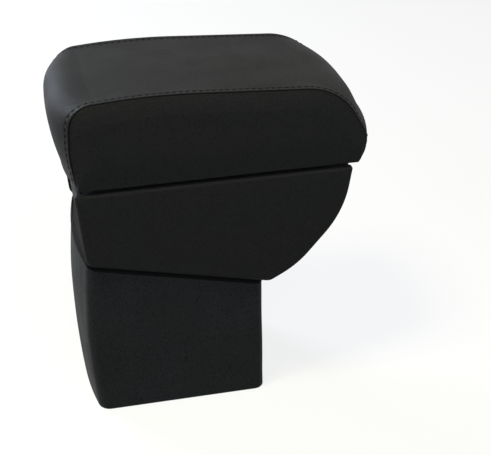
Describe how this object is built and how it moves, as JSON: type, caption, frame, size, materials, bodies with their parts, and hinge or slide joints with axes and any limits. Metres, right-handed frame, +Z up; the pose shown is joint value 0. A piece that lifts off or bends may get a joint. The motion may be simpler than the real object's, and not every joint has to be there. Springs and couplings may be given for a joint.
{
  "type": "car centre armrest",
  "caption": "Padded car centre armrest: a hinged leatherette lid over a curved storage box on a column with a bolted foot.",
  "frame": {"origin": "centre of the foot plate's four fixing holes, on the underside that the armrest stands on", "axes": "+X to the front of the car, which is where the lid opens; +Y to the left of the car; +Z up"},
  "size_m": [0.2787, 0.155, 0.3075],
  "materials": {
    "black_leatherette": "matte",
    "plywood": "matte",
    "black_moulding": "matte",
    "zinc_plated_steel": "satin",
    "moulded_foam": "matte",
    "grey_felt": "matte",
    "ferrite": "matte",
    "black_rubber": "matte",
    "black_steel": "satin"
  },
  "bodies": {
    "box": {"side_board_left": "plywood", "side_board_right": "plywood", "side_cover_left": "black_leatherette", "side_cover_right": "black_leatherette", "rear_board": "plywood", "floor_board": "plywood", "front_board": "plywood", "box_cover": "black_leatherette", "hinge_rail": "plywood", "storage_bin": "black_moulding", "bin_mat": "grey_felt", "rim_frame": "black_moulding", "hinge_leaf_box": "black_steel", "hinge_pin": "black_steel", "hinge_screws_box": "zinc_plated_steel", "catch_housing": "black_moulding", "catch_magnet": "ferrite", "lid_buffers": "black_rubber", "column_core": "black_moulding", "column_cover": "black_leatherette", "column_screws": "zinc_plated_steel", "foot_plate": "black_steel", "foot_screws": "zinc_plated_steel"},
    "lid": {"lid_cover_top": "black_leatherette", "lid_cover_left": "black_leatherette", "lid_cover_right": "black_leatherette", "lid_foam": "moulded_foam", "lid_board": "plywood", "lid_liner": "black_moulding", "hinge_leaf_lid": "black_steel", "hinge_screws_lid": "zinc_plated_steel", "strike_plate": "zinc_plated_steel", "liner_screws": "zinc_plated_steel"}
  },
  "joints": [
    {"name": "lid_hinge", "type": "hinge", "parent": "box", "child": "lid", "pos_m": [-0.07755, 0, 0.2257], "axis": [0, -1, 0], "range_deg": [0, 95]}
  ]
}
